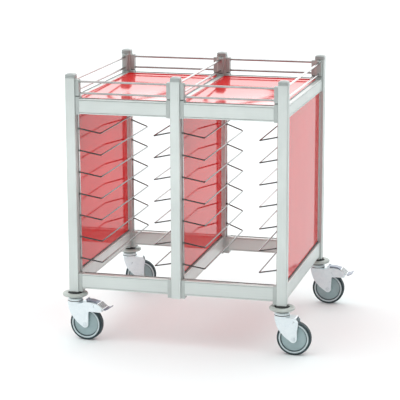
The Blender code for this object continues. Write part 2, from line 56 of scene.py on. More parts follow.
# Frame details, in metres
BLOCK_LENGTH = 0.014
BLOCK_DROP = 0.003
TOP_RAIL_TOP = 0.900
BOTTOM_RAIL_FOOT = 0.195
RAIL_WALL = 0.003
RAIL_EDGE = 0.0012
LINE_INSET = 0.0040         # from the rail's edge to the groove that runs along its face
LINE_WIDTH = 0.0016
LINE_DEPTH = 0.0015
TROUGH_DEPTH = 0.0022
TROUGH_LIP = 0.0035
SEAM = 0.0022               # gap between a gallery bracket and the block below it
ROD_RADIUS = 0.004
ROD_HEIGHTS = (0.920, 0.962)
SHELF_SHEET = 0.003
SHELF_FLOOR = 0.8965
SHELF_RIM = 0.006
SHELF_CORNER = 0.010
STRIP_WIDTH = 0.0055        # rubber strip round the panels
STRIP_THICKNESS = 0.0016
RAIL_PLAY = 0.0005          # how far a rail's faces stand in from its end blocks
BLOCK_CORNER = 0.0015

# Wire runners
RUNNER_LEVELS = 7
RUNNER_PITCH = 0.0805
LOWEST_RUNNER = 0.285
RUNNER_RISE = 0.020
RUNNER_REACH = 0.0725       # from the upright to the run
RUNNER_SETBACK = 0.026      # from the upright to the bend
RUNNER_BEND = 0.006
WIRE_RADIUS = 0.0025
UPRIGHT_RADIUS = 0.003

# Casters
WHEEL_RADIUS = 0.0625
TRAIL = 0.045
TYRE_INNER = 0.055
CROWN = 0.141
FORK_HALF_WIDTH = 0.0225
FORK_SHEET = 0.003
FOLD_X = 0.020              # the fork leg leans in ahead of this line
FOLD_LEAN = 0.10
CUP_RADIUS = 0.0285
CUP_TOP = 0.1645
PIN_RADIUS = 0.008
AXLE_RADIUS = 0.006
BUMPER_RADIUS = 0.047
BUMPER = (0.165, 0.176)
POST_FOOT = 0.182
PEDAL_PIVOT = (0.047, 0.1505)
PEDAL_SHEET = 0.003
TREAD_START = (0.097, 0.1425)
TREAD_END = (0.118, 0.1265)
SHADED_SEAT_RADIUS = 0.0275        # painted shade in the bumper's recess, round the foot of the post


# ---------------------------------------------------------------- mesh tools

def finish_mesh(name, bm, materials, sharp=32.0):
    """Turn a bmesh into an object with its faces out and its round sides smooth."""
    bmesh.ops.remove_doubles(bm, verts=bm.verts, dist=1e-6)
    bmesh.ops.recalc_face_normals(bm, faces=bm.faces)
    mesh = bpy.data.meshes.new(name)
    bm.to_mesh(mesh)
    bm.free()
    mesh.shade_smooth()
    mesh.set_sharp_from_angle(angle=math.radians(sharp))
    for material in materials:
        mesh.materials.append(material)
    piece = bpy.data.objects.new(name, mesh)
    bpy.context.scene.collection.objects.link(piece)
    return piece


def arc(centre, radius, start, end, steps):
    """Points on a circle from one angle to another, in degrees."""
    points = []
    for step in range(steps + 1):
        angle = math.radians(start + (end - start) * step / steps)
        points.append((centre[0] + radius * math.cos(angle), centre[1] + radius * math.sin(angle)))
    return points


def eased(points, reach, steps=5, closed=True):
    """The same line with each corner turned into a short curve. Works in 2-D and 3-D."""
    line = [Vector(point) for point in points]
    count = len(line)
    result = []
    for i, corner in enumerate(line):
        if not closed and i in (0, count - 1):
            result.append(tuple(corner))
            continue
        before = line[i - 1] - corner
        after = line[(i + 1) % count] - corner
        start = corner + before.normalized() * min(reach, 0.49 * before.length)
        end = corner + after.normalized() * min(reach, 0.49 * after.length)
        for step in range(steps + 1):
            t = step / steps
            result.append(tuple(start * (1 - t) ** 2 + corner * 2 * t * (1 - t) + end * t ** 2))
    return result


def rounded_rectangle(width, depth, radius, steps, centre=(0.0, 0.0)):
    points = []
    for quarter, (sx, sy) in enumerate(((1, 1), (-1, 1), (-1, -1), (1, -1))):
        corner = (centre[0] + sx * (width / 2 - radius), centre[1] + sy * (depth / 2 - radius))
        points += arc(corner, radius, 90 * quarter, 90 * quarter + 90, steps)
    return points


def join_rings(bm, first, second, index=0):
    count = len(first)
    for i in range(count):
        j = (i + 1) % count
        face = bm.faces.new((first[i], first[j], second[j], second[i]))
        face.material_index = index


def loft(bm, rings, index=0, capped=True):
    """Skin a run of rings that have the same number of points."""
    made = [[bm.verts.new(point) for point in ring] for ring in rings]
    for first, second in zip(made, made[1:]):
        join_rings(bm, first, second, index)
    if capped:
        for ring in (made[0], made[-1]):
            face = bm.faces.new(ring)
            face.material_index = index
    return made


def in_plane(plane, along, a, b):
    """The point at (a, b) in a named plane, at a distance along its normal."""
    return {"XY": (a, b, along), "YZ": (along, a, b), "XZ": (a, along, b)}[plane]


def add_prism(bm, outline, plane, start, end, index=0):
    rings = [[in_plane(plane, along, a, b) for a, b in outline] for along in (start, end)]
    loft(bm, rings, index)


def add_lathe(bm, profile, steps, place, closed=False):
    """Turn a profile of (radius, height) points about Z, then place it by a matrix."""
    rings = []
    for radius, height in profile:
        if radius == 0:
            rings.append([bm.verts.new(place @ Vector((0, 0, height)))])
            continue
        ring = []
        for step in range(steps):
            angle = 2 * math.pi * step / steps
            point = Vector((radius * math.cos(angle), radius * math.sin(angle), height))
            ring.append(bm.verts.new(place @ point))
        rings.append(ring)
    pairs = list(zip(rings, rings[1:]))
    if closed:
        pairs.append((rings[-1], rings[0]))
    for first, second in pairs:
        for i in range(steps):
            j = (i + 1) % steps
            corners = [first[i % len(first)], first[j % len(first)],
                       second[j % len(second)], second[i % len(second)]]
            bm.faces.new(list(dict.fromkeys(corners)))


def add_tube(bm, path, radius, sides, index=0):
    """A round bar along a path, its section carried along without twist."""
    points = [Vector(point) for point in path]
    count = len(points)
    tangents = []
    for i in range(count):
        tangents.append((points[min(i + 1, count - 1)] - points[max(i - 1, 0)]).normalized())
    side = tangents[0].orthogonal().normalized()
    rings = []
    for point, tangent in zip(points, tangents):
        side = (side - tangent * side.dot(tangent)).normalized()
        top = tangent.cross(side)
        ring = []
        for k in range(sides):
            angle = 2 * math.pi * k / sides
            ring.append(point + (side * math.cos(angle) + top * math.sin(angle)) * radius)
        rings.append(ring)
    loft(bm, rings, index)


def cut(name, base, tool):
    """Take one bmesh away from another with an exact Boolean, as a new bmesh."""
    operands = []
    for part in (base, tool):
        operands.append(finish_mesh(name + "_operand", part, []))
    modifier = operands[0].modifiers.new("Boolean", "BOOLEAN")
    modifier.operation = "DIFFERENCE"
    modifier.solver = "EXACT"
    modifier.object = operands[1]
    depsgraph = bpy.context.evaluated_depsgraph_get()
    evaluated = operands[0].evaluated_get(depsgraph)
    result = bmesh.new()
    result.from_mesh(evaluated.to_mesh())
    evaluated.to_mesh_clear()
    for operand in operands:
        mesh = operand.data
        bpy.data.objects.remove(operand, do_unlink=True)
        bpy.data.meshes.remove(mesh)
    return result


def soften(piece, width, segments=2, angle=35.0):
    """Round the sharp edges of a piece."""
    modifier = piece.modifiers.new("Bevel", "BEVEL")
    modifier.width = width
    modifier.segments = segments
    modifier.limit_method = "ANGLE"
    modifier.angle_limit = math.radians(angle)
    modifier.harden_normals = True


def settle(piece, body, slot, *nodes):
    """Give a piece its body and hide the CAD nodes that it stands for. The slot argument is not used."""
    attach(piece, body)
    if nodes:
        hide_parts(*nodes)


# ---------------------------------------------------------------- materials

class Paint:
    """A Principled material with short ways to add procedural detail."""

    def __init__(self, name, **sockets):
        self.material = bpy.data.materials.new(name)
        self.material.use_nodes = True
        self.tree = self.material.node_tree
        self.shader = self.tree.nodes["Principled BSDF"]
        for socket, value in sockets.items():
            self.shader.inputs[socket.replace("_", " ")].default_value = value
        self.position = self.node("ShaderNodeTexCoord").outputs["Object"]

    def node(self, kind, **settings):
        item = self.tree.nodes.new(kind)
        for key, value in settings.items():
            setattr(item, key, value)
        return item

    def link(self, source, target):
        self.tree.links.new(source, target)

    def noise(self, scale, detail=3.0, stretch=(1.0, 1.0, 1.0), roughness=0.55):
        mapping = self.node("ShaderNodeMapping")
        mapping.inputs["Scale"].default_value = stretch
        self.link(self.position, mapping.inputs["Vector"])
        texture = self.node("ShaderNodeTexNoise")
        texture.inputs["Scale"].default_value = scale
        texture.inputs["Detail"].default_value = detail
        texture.inputs["Roughness"].default_value = roughness
        self.link(mapping.outputs["Vector"], texture.inputs["Vector"])
        return texture.outputs["Fac"]

    def spread(self, source, low, high, start=0.3, end=0.7):
        """Map a 0 to 1 value onto low to high."""
        item = self.node("ShaderNodeMapRange")
        item.inputs["From Min"].default_value = start
        item.inputs["From Max"].default_value = end
        item.inputs["To Min"].default_value = low
        item.inputs["To Max"].default_value = high
        self.link(source, item.inputs["Value"])
        return item.outputs["Result"]

    def maths(self, operation, first, second):
        item = self.node("ShaderNodeMath", operation=operation)
        for socket, value in zip(item.inputs, (first, second)):
            if isinstance(value, (int, float)):
                socket.default_value = value
            else:
                self.link(value, socket)
        return item.outputs["Value"]

    def blend(self, factor, first, second):
        """Mix two colours; each is a tuple or a socket."""
        item = self.node("ShaderNodeMix", data_type="RGBA")
        self.link(factor, item.inputs["Factor"])
        for socket, value in ((item.inputs[6], first), (item.inputs[7], second)):
            if isinstance(value, tuple):
                socket.default_value = (*value, 1.0)
            else:
                self.link(value, socket)
        return item.outputs[2]

    def colour(self, source):
        self.link(source, self.shader.inputs["Base Color"])

    def rough(self, source):
        self.link(source, self.shader.inputs["Roughness"])

    def bump(self, height, distance, strength=1.0):
        item = self.node("ShaderNodeBump")
        item.inputs["Distance"].default_value = distance
        item.inputs["Strength"].default_value = strength
        self.link(height, item.inputs["Height"])
        self.link(item.outputs["Normal"], self.shader.inputs["Normal"])


def lacquered_metal(name, light, dark, stretch):
    """Satin lacquered aluminium, drawn along the direction with the small stretch value."""
    paint = Paint(name, Metallic=0.30, Specular_IOR_Level=0.5, Coat_Weight=0.15, Coat_Roughness=0.25)
    cloud = paint.noise(5.0, 3.0)
    lines = paint.noise(260.0, 2.0, stretch)
    tone = paint.maths("ADD", paint.maths("MULTIPLY", cloud, 0.6), paint.maths("MULTIPLY", lines, 0.4))
    paint.colour(paint.blend(paint.spread(tone, 0.0, 1.0, 0.35, 0.65), dark, light))
    scuffs = paint.noise(38.0, 6.0)
    paint.rough(paint.spread(paint.maths("MULTIPLY", scuffs, lines), 0.30, 0.48, 0.12, 0.42))
    paint.bump(lines, 0.00004, 0.5)
    return paint.material


def moulded_plastic(name, light, dark, roughness, grain=0.00005):
    paint = Paint(name, Specular_IOR_Level=0.45)
    cloud = paint.noise(30.0, 4.0)
    paint.colour(paint.blend(paint.spread(cloud, 0.0, 1.0), dark, light))
    fine = paint.noise(900.0, 3.0)
    paint.rough(paint.spread(fine, roughness - 0.06, roughness + 0.08))
    paint.bump(fine, grain, 0.6)
    return paint.material


def bright_chrome(name, light, dark):
    """Chrome plate with a little haze and fine drawing marks, its base colour toned down for a studio bright all
    round: painted shade standing in for dark surroundings in its reflections.
    """
    paint = Paint(name, Metallic=1.0)
    haze = paint.noise(45.0, 4.0)
    paint.colour(paint.blend(paint.spread(haze, 0.0, 1.0), dark, light))
    paint.rough(paint.spread(haze, 0.05, 0.12))
    paint.bump(paint.noise(700.0, 2.0), 0.00002, 0.4)
    return paint.material


def glossy_red(name):
    """Deep gloss red laminate with faint orange peel and wiping marks."""
    paint = Paint(name, IOR=1.37, Specular_IOR_Level=0.5)
    cloud = paint.noise(3.5, 3.0)
    paint.colour(paint.blend(paint.spread(cloud, 0.0, 1.0), (0.64, 0.005, 0.008), (0.71, 0.008, 0.011)))
    wipes = paint.noise(14.0, 5.0, (1.0, 3.0, 0.6))
    paint.rough(paint.spread(wipes, 0.035, 0.085, 0.35, 0.75))
    peel = paint.noise(55.0, 2.0)
    paint.bump(peel, 0.00010, 0.25)
    return paint.material


def zinc_plate(name, light, dark, metallic):
    """Bright passivated zinc: a faint blue-white bloom over pressed steel."""
    paint = Paint(name, Metallic=metallic, Specular_IOR_Level=0.6)
    bloom = paint.noise(60.0, 5.0)
    cells = paint.noise(240.0, 2.0)
    tone = paint.maths("ADD", paint.maths("MULTIPLY", bloom, 0.7), paint.maths("MULTIPLY", cells, 0.3))
    paint.colour(paint.blend(paint.spread(tone, 0.0, 1.0, 0.38, 0.62), dark, light))
    paint.rough(paint.spread(bloom, 0.26, 0.42))
    paint.bump(cells, 0.00006, 0.5)
    return paint.material


def tyre_rubber(name):
    paint = Paint(name, Specular_IOR_Level=0.35)
    dust = paint.noise(70.0, 5.0)
    paint.colour(paint.blend(paint.spread(dust, 0.0, 1.0, 0.4, 0.75),
                             (0.028, 0.048, 0.054), (0.070, 0.105, 0.115)))
    fine = paint.noise(1200.0, 2.0)
    paint.rough(paint.spread(fine, 0.52, 0.72))
    paint.bump(fine, 0.00008, 0.6)
    return paint.material


def floor_paint(name):
    paint = Paint(name, Specular_IOR_Level=0.1)
    cloud = paint.noise(0.6, 4.0)
    paint.colour(paint.blend(paint.spread(cloud, 0.0, 1.0),
                             (0.862, 0.902, 0.905), (0.876, 0.916, 0.919)))
    fine = paint.noise(90.0, 4.0)
    paint.rough(paint.spread(fine, 0.75, 0.90))
    paint.bump(fine, 0.0002, 0.1)
    return paint.material


ALONG_X = (0.02, 1.0, 1.0)
ALONG_Y = (1.0, 0.02, 1.0)
ALONG_Z = (1.0, 1.0, 0.02)
METAL_LIGHT = (0.640, 0.690, 0.670)
METAL_DARK = (0.585, 0.630, 0.612)

POST_METAL = lacquered_metal("post_metal", METAL_LIGHT, METAL_DARK, ALONG_Z)
RAIL_METAL = {"X": lacquered_metal("rail_metal_x", METAL_LIGHT, METAL_DARK, ALONG_X),
              "Y": lacquered_metal("rail_metal_y", METAL_LIGHT, METAL_DARK, ALONG_Y)}
BLOCK_PLASTIC = moulded_plastic("block_plastic", (0.50, 0.545, 0.53), (0.45, 0.49, 0.475), 0.42)
CAP_PLASTIC = moulded_plastic("cap_plastic", (0.45, 0.49, 0.48), (0.40, 0.44, 0.43), 0.34)
BUMPER_RUBBER = moulded_plastic("bumper_rubber", (0.52, 0.565, 0.535), (0.45, 0.495, 0.465), 0.50, 0.00010)
STRIP_RUBBER = moulded_plastic("strip_rubber", (0.70, 0.68, 0.66), (0.60, 0.58, 0.56), 0.50)
# Near-black painted shade, set in grooves, gaps and recesses and under the bumper, where shade falls
PAINTED_SHADE_DARK = moulded_plastic("painted_shade_dark", (0.075, 0.080, 0.080), (0.050, 0.054, 0.054), 0.60)
# Grey painted shade for the floors of the rails' grooves
GROOVE_SHADE_GREY = moulded_plastic("groove_painted_shade", (0.34, 0.37, 0.36), (0.27, 0.30, 0.29), 0.55)
# Two copies of one chrome: the wires take a darker one as painted shade, the rods and uprights a lighter one as
# painted highlight
WIRE_CHROME_SHADED = bright_chrome("wire_chrome", (0.13, 0.127, 0.125), (0.07, 0.068, 0.068))
ROD_CHROME_LIT = bright_chrome("rod_chrome_painted_light", (0.46, 0.45, 0.445), (0.36, 0.35, 0.345))
RED = glossy_red("panel_red")
ZINC = zinc_plate("fork_zinc", (0.86, 0.935, 0.96), (0.80, 0.885, 0.92), 0.22)
BOLT_STEEL = zinc_plate("bolt_steel", (0.80, 0.88, 0.91), (0.68, 0.76, 0.79), 0.25)
PEDAL_STEEL = zinc_plate("pedal_steel", (0.26, 0.295, 0.36), (0.18, 0.21, 0.27), 0.55)
TREAD_STEEL = zinc_plate("tread_steel", (0.84, 0.90, 0.92), (0.74, 0.80, 0.82), 0.3)
WHEEL_PLASTIC = moulded_plastic("wheel_plastic", (0.39, 0.51, 0.525), (0.33, 0.44, 0.455), 0.40)
# Dark painted shade for the groove inside the wheel's rim band
WHEEL_GROOVE_SHADE = moulded_plastic("wheel_groove_painted_shade", (0.13, 0.18, 0.19), (0.09, 0.13, 0.14), 0.50)
# Light painted highlight for the wheel's rim band
RIM_BAND_HIGHLIGHT = moulded_plastic("rim_band_painted_highlight", (0.66, 0.76, 0.78), (0.58, 0.68, 0.70), 0.38)
TYRE = tyre_rubber("tyre_rubber")
FLOOR = floor_paint("floor_paint")


# ---------------------------------------------------------------- frame

def dress(node, material, width):
    """Keep a CAD node's shape, round its edges and give it its material."""
    piece = frame["nodes"][node]
    piece.data.materials.clear()
    piece.data.materials.append(material)
    soften(piece, width)


def rail_outline(half, low, high):
    """A rail's section: a channel open below, with a trough on top and a groove along each face."""
    inner = half - RAIL_WALL
    groove = half - LINE_DEPTH
    trough = half - TROUGH_LIP
    right = [(inner, low), (half, low)]
    for line in (low + LINE_INSET, high - LINE_INSET - LINE_WIDTH):
        right += [(half, line), (groove, line), (groove, line + LINE_WIDTH), (half, line + LINE_WIDTH)]
    right += [(half, high - RAIL_EDGE), (half - RAIL_EDGE, high), (trough, high), (trough, high - TROUGH_DEPTH)]
    left = [(-a, b) for a, b in reversed(right)]
    under = high - TROUGH_DEPTH - RAIL_WALL
    return right + left + [(-inner, under), (inner, under)]


def darken_lines(bm, plane, across, half, low, high):
    """Give the floors of the grooves a grey material and the upright walls of the trough a near-black one: painted
    shade in the grooves and the trough.
    """
    for face in bm.faces:
        middle = face.calc_center_median()
        offset = abs((middle.y if plane == "YZ" else middle.x) - across)
        in_groove = abs(offset - (half - LINE_DEPTH)) < 1e-5 and low < middle.z < high
        in_trough = abs(offset - (half - TROUGH_LIP)) < 1e-5 and middle.z > high - TROUGH_DEPTH
        if len(face.verts) == 4 and (in_groove or in_trough):
            face.material_index = 3 if in_groove else 2


def along_box(low, high):
    """Which way a rail or gallery runs, the sweep plane, its ends and the middle and width across it."""
    if high.x - low.x > high.y - low.y:
        return "X", "YZ", (low.x, high.x), (low.y + high.y) / 2, (high.y - low.y) / 2
    return "Y", "XZ", (low.y, high.y), (low.x + high.x) / 2, (high.x - low.x) / 2


def shift(outline, across):
    return [(a + across, b) for a, b in outline]


def make_rail(node):
    """A rail with a moulded block at each end."""
    low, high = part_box(node)
    axis, plane, ends, across, half = along_box(low, high)
    top = node.startswith("top")
    rail_low = low.z + BLOCK_DROP if top else BOTTOM_RAIL_FOOT
    rail_high = TOP_RAIL_TOP if top else high.z
    bm = bmesh.new()
    outline = shift(rail_outline(half - RAIL_PLAY, rail_low, rail_high), across)
    add_prism(bm, outline, plane, ends[0] + BLOCK_LENGTH, ends[1] - BLOCK_LENGTH)
    darken_lines(bm, plane, across, half - RAIL_PLAY, rail_low, rail_high)
    edge = [(0.0, 0.0010), (0.0010, 0.0), (BLOCK_LENGTH - 0.0008, 0.0), (BLOCK_LENGTH, 0.0008)]
    for start, inward in ((ends[0], 1), (ends[1], -1)):
        rings = []
        for step, inset in edge:
            wide = rounded_rectangle(2 * (half - inset), high.z - low.z - 2 * inset, BLOCK_CORNER, 4,
                                     (across, (low.z + high.z) / 2))
            rings.append([in_plane(plane, start + inward * step, a, b) for a, b in wide])
        loft(bm, rings, 1)
    # Slots 2 and 3 are painted shade: near-black on the trough walls, grey on the groove floors.
    piece = finish_mesh("rail_" + node, bm, [RAIL_METAL[axis], BLOCK_PLASTIC, PAINTED_SHADE_DARK, GROOVE_SHADE_GREY])
    soften(piece, 0.0004)
    settle(piece, "root", "frame", node)


def make_gallery(node):
    """Two chromed rods between brackets, each with a collar where it enters the bracket, and a near-black strip of
    painted shade in the seam under each bracket.
    """
    low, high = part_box(node)
    _, plane, ends, across, half = along_box(low, high)
    bm = bmesh.new()
    middle = (low.z + high.z) / 2
    for start, inward in ((ends[0], 1), (ends[1], -1)):
        rings = []
        for step, inset in ((0.0, 0.0008), (0.0008, 0.0), (BLOCK_LENGTH - 0.0010, 0.0), (BLOCK_LENGTH, 0.0010)):
            outline = rounded_rectangle(2 * (half - inset), high.z - low.z - SEAM - 2 * inset, 0.003, 5,
                                        (across, middle + SEAM / 2))
            rings.append([in_plane(plane, start + inward * step, a, b) for a, b in outline])
        loft(bm, rings, 1)
        # The foot fills the seam under the bracket with near-black painted shade.
        foot = rounded_rectangle(2 * (half - 0.0018), 2 * SEAM, 0.0008, 2, (across, low.z + SEAM))
        add_prism(bm, foot, plane, start + inward * 0.0012, start + inward * (BLOCK_LENGTH - 0.0018), 2)
    for height in ROD_HEIGHTS:
        a = ends[0] + BLOCK_LENGTH - 0.001
        b = ends[1] - BLOCK_LENGTH + 0.001
        add_tube(bm, [in_plane(plane, a + (b - a) * t / 8, across, height) for t in range(9)], ROD_RADIUS, 20)
        for start, inward in ((a, 1), (b, -1)):
            collar = [in_plane(plane, start + inward * step, across, height) for step in (0.0, 0.0016, 0.0034)]
            add_tube(bm, collar, ROD_RADIUS + 0.0011, 20, 1)
    # The rods take the lighter chrome copy as painted highlight.
    piece = finish_mesh("rods_" + node, bm, [ROD_CHROME_LIT, BLOCK_PLASTIC, PAINTED_SHADE_DARK])
    soften(piece, 0.0003)
    settle(piece, "root", "chrome", node)


def make_cap(name):
    """A domed cap with a groove round its skirt."""
    post_low, post_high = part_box(f"post_{name}")
    low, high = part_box(f"cap_{name}")
    x = (post_low.x + post_high.x) / 2
    y = (post_low.y + post_high.y) / 2
    base = post_high.z + GAP
    rise = high.z - base
    width = high.x - low.x
    depth = high.y - low.y
    levels = [(0.0, 0.0006), (0.0008, 0.0), (0.0056, 0.0), (0.0062, 0.0011), (0.0074, 0.0011), (0.0080, 0.0)]
    for step in range(9):
        angle = math.radians(90 * step / 8)
        levels.append((0.0100 + (rise - 0.0100) * math.sin(angle), 0.0115 * (1 - math.cos(angle))))
    bm = bmesh.new()
    rings = []
    for height, inset in levels:
        radius = 0.003 + inset * 0.55
        outline = rounded_rectangle(width - 2 * inset, depth - 2 * inset, radius, 6, (x, y))
        rings.append([(a, b, base + height) for a, b in outline])
    loft(bm, rings)
    piece = finish_mesh(f"dome_{name}", bm, [CAP_PLASTIC], 50.0)
    soften(piece, 0.0003)
    settle(piece, "root", "cap", f"cap_{name}")


def make_shelf(bay):
    """A pressed tray: rounded rim, soft inner corner and a turned-down skirt."""
    low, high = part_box(f"shelf_{bay}")
    centre = (low + high) / 2
    width = high.x - low.x
    depth = high.y - low.y
    sheet = SHELF_SHEET
    edge = 0.0010
    profile = [(sheet, low.z), (0.0, low.z)]
    profile += [(edge - a, high.z - edge + b) for a, b in arc((0, 0), edge, 0, 90, 5)]
    profile += [(SHELF_RIM - edge - a, high.z - edge + b) for a, b in arc((0, 0), edge, 90, 180, 5)]
    profile += [(SHELF_RIM + edge - a, SHELF_FLOOR + edge + b) for a, b in arc((0, 0), edge, 0, -90, 5)]
    bm = bmesh.new()
    rings = []
    for inset, height in profile:
        radius = max(0.002, SHELF_CORNER - inset)
        outline = rounded_rectangle(width - 2 * inset, depth - 2 * inset, radius, 10, (centre.x, centre.y))
        rings.append([(a, b, height) for a, b in outline])
    under = [(sheet, SHELF_FLOOR - sheet), (sheet, low.z)]
    skin = loft(bm, rings, 0, capped=False)
    bm.faces.new(skin[-1])
    below = []
    for inset, height in under:
        outline = rounded_rectangle(width - 2 * inset, depth - 2 * inset, SHELF_CORNER - inset, 10,
                                    (centre.x, centre.y))
        below.append([bm.verts.new((a, b, height)) for a, b in outline])
    join_rings(bm, below[0], below[1])
    bm.faces.new(below[0])
    piece = finish_mesh(f"tray_{bay}", bm, [RED], 60.0)
    settle(piece, "root", "red", f"shelf_{bay}")


def make_strips(column):
    """Rubber strips along both faces of a panel, beside the posts and above the bottom rail; the strip above the rail
    is near-black, painted shade along the panel's foot.
    """
    low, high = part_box(f"panel_{column}")
    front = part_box(f"post_front_{column}")[1].y + GAP
    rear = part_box(f"post_rear_{column}")[0].y - GAP
    foot = low.z + GAP
    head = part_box(f"top_rail_side_{column}" if column != "middle" else "top_rail_middle")[0].z - GAP
    bm = bmesh.new()
    for side in (-1, 1):
        face = (low.x if side < 0 else high.x) + side * 0.0001
        out = face + side * STRIP_THICKNESS
        for y, inward in ((front, 1), (rear, -1)):
            outline = eased([(face, y), (out, y), (out, y + inward * STRIP_WIDTH * 0.7),
                             (face, y + inward * STRIP_WIDTH)], 0.0006, 3)
            add_prism(bm, outline, "XY", foot + STRIP_WIDTH, head)
        # The strip above the rail takes the near-black material: painted shade along the foot of the panel.
        outline = eased([(face, foot), (out, foot), (out, foot + STRIP_WIDTH * 0.6),
                         (face, foot + STRIP_WIDTH * 0.8)], 0.0006, 3)
        add_prism(bm, outline, "XZ", front, rear, 1)
    piece = finish_mesh(f"panel_strips_{column}", bm, [STRIP_RUBBER, PAINTED_SHADE_DARK])
    settle(piece, "root", "bumper")


def make_rack(bay, label):
    """Seven bent wires welded to a front and a rear upright."""
    node = f"runners_{bay}_bay_{label}"
    low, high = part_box(node)
    side = 1 if label == "left" else -1
    upright_x = low.x + UPRIGHT_RADIUS if side > 0 else high.x - UPRIGHT_RADIUS
    ends = (low.y + UPRIGHT_RADIUS, high.y - UPRIGHT_RADIUS)
    bm = bmesh.new()
    for y in ends:
        add_tube(bm, [(upright_x, y, low.z + (high.z - low.z) * t / 12) for t in range(13)], UPRIGHT_RADIUS,
                 16, 1)
    for level in range(RUNNER_LEVELS):
        height = LOWEST_RUNNER + level * RUNNER_PITCH
        run_x = upright_x + side * RUNNER_REACH
        raised = height + RUNNER_RISE
        path = [(upright_x, ends[0], raised), (run_x, ends[0] + RUNNER_SETBACK, height),
                (run_x, ends[1] - RUNNER_SETBACK, height), (upright_x, ends[1], raised)]
        add_tube(bm, eased(path, RUNNER_BEND, 6, closed=False), WIRE_RADIUS, 14)
        for y in ends:
            bead = [(upright_x, y, raised + step) for step in (-0.0034, -0.0016, 0.0016, 0.0034)]
            add_tube(bm, bead, UPRIGHT_RADIUS + 0.0006, 12)
    # The wires take the darker chrome copy as painted shade, the uprights the lighter one as painted highlight.
    piece = finish_mesh(f"wires_{bay}_bay_{label}", bm, [WIRE_CHROME_SHADED, ROD_CHROME_LIT])
    settle(piece, "root", "chrome", node)


# ---------------------------------------------------------------- casters

def caster_frame(name):
    """The matrix from a caster's own frame (swivel axis, trail along +X) to the trolley's."""
    swivel = Vector(JOINTS[f"swivel_{name}"]["pos_m"])
    wheel = Vector(JOINTS[f"roll_{name}"]["pos_m"])
    turn = math.atan2(wheel.y - swivel.y, wheel.x - swivel.x)
    return Matrix.Translation((swivel.x, swivel.y, 0)) @ Matrix.Rotation(turn, 4, "Z")


ON_AXLE = Matrix.Translation((TRAIL, 0, WHEEL_RADIUS)) @ Matrix.Rotation(math.radians(90), 4, "X")


def make_bumper(name):
    """A soft disc with a rolled rim and a recess round the foot of the post, its seat near-black as painted shade."""
    low, high = BUMPER
    rim = (high - low) / 2
    profile = [(0, CUP_TOP - 0.014), (PIN_RADIUS, CUP_TOP - 0.014), (PIN_RADIUS, low + 0.0008), (0.018, low)]
    profile += arc((BUMPER_RADIUS - rim, (low + high) / 2), rim, -90, 90, 14)
    profile += [(0.0290, high), (0.0272, high - 0.0008), (0.0262, high - 0.0035), (0.0225, high - 0.0035),
                (0.0220, POST_FOOT - GAP), (PIN_RADIUS, POST_FOOT - GAP), (PIN_RADIUS, POST_FOOT + 0.024),
                (0, POST_FOOT + 0.024)]
    bm = bmesh.new()
    add_lathe(bm, profile, 96, caster_frame(name))
    swivel = Vector(JOINTS[f"swivel_{name}"]["pos_m"])
    # Faces of the seat take the near-black material: painted shade in the recess under the post.
    for face in bm.faces:
        spot = face.calc_center_median()
        if spot.z > high - 0.004 and math.hypot(spot.x - swivel.x, spot.y - swivel.y) < SHADED_SEAT_RADIUS:
            face.material_index = 1
    piece = finish_mesh(f"bumper_disc_{name}", bm, [BUMPER_RUBBER, PAINTED_SHADE_DARK], 45.0)
    settle(piece, "root", "bumper", f"bumper_{name}")


def leg_outline(braked):
    """Side view of a fork; the braked one carries a hood over the wheel."""
    leading = [(-0.025, CROWN), (-0.0215, 0.120), (-0.010, 0.093), (0.012, 0.070)]
    tip = arc((TRAIL, WHEEL_RADIUS), 0.0135, 228, 360, 10)
    if braked:
        hood = eased([(0.0600, 0.100), (0.0600, 0.112), (0.113, 0.112), (0.1125, 0.1295), (0.094, 0.1435),
                      (0.060, 0.1475), (0.036, 0.1435), (0.030, CROWN)], 0.006, 5, closed=False)
        return eased(leading, 0.012, 6, closed=False) + tip + hood
    trailing = eased([(0.0590, 0.095), (0.0640, 0.128), (0.052, CROWN)], 0.010, 6, closed=False)
    return eased(leading, 0.012, 6, closed=False) + tip + trailing


def leg_inside(braked):
    """Side view of the space between the legs."""
    under = CROWN - FORK_SHEET
    ahead = [(-0.0215, under), (-0.0185, 0.120), (-0.012, 0.106), (-0.045, 0.106), (-0.045, 0.030)]
    if braked:
        return ahead + [(0.1105, 0.030), (0.1105, 0.1165), (0.1095, 0.1282), (0.0925, 0.1407),
                        (0.060, 0.1445), (0.040, 0.1412), (0.034, under)]
    return ahead + [(0.130, 0.030), (0.130, under)]


def prism_mesh(outline, plane, start, end):
    bm = bmesh.new()
    add_prism(bm, outline, plane, start, end)
    return bm


def make_fork(name):
    """Pressed fork with its crown, and as separate solids the swivel head and the axle bolt."""
    braked = name in BRAKED
    body = prism_mesh(leg_outline(braked), "XZ", -FORK_HALF_WIDTH, FORK_HALF_WIDTH)
    inner = FORK_HALF_WIDTH - FORK_SHEET
    body = cut(name, body, prism_mesh(leg_inside(braked), "XZ", -inner, inner))
    bmesh.ops.bisect_plane(body, geom=list(body.verts) + list(body.edges) + list(body.faces),
                           plane_co=(FOLD_X, 0, 0), plane_no=(1, 0, 0))
    for vert in body.verts:
        ahead = max(0.0, FOLD_X - vert.co.x)
        vert.co.y -= math.copysign(min(abs(vert.co.y), ahead * FOLD_LEAN), vert.co.y)
    place = caster_frame(name)
    bmesh.ops.transform(body, matrix=place, verts=body.verts)
    fork = finish_mesh(f"fork_shell_{name}", body, [ZINC], 20.0)
    soften(fork, 0.0008, 3, 30.0)
    settle(fork, f"swivel_{name}", "zinc", f"fork_{name}")
    add_head(name, place)
    add_bolt(name, place)


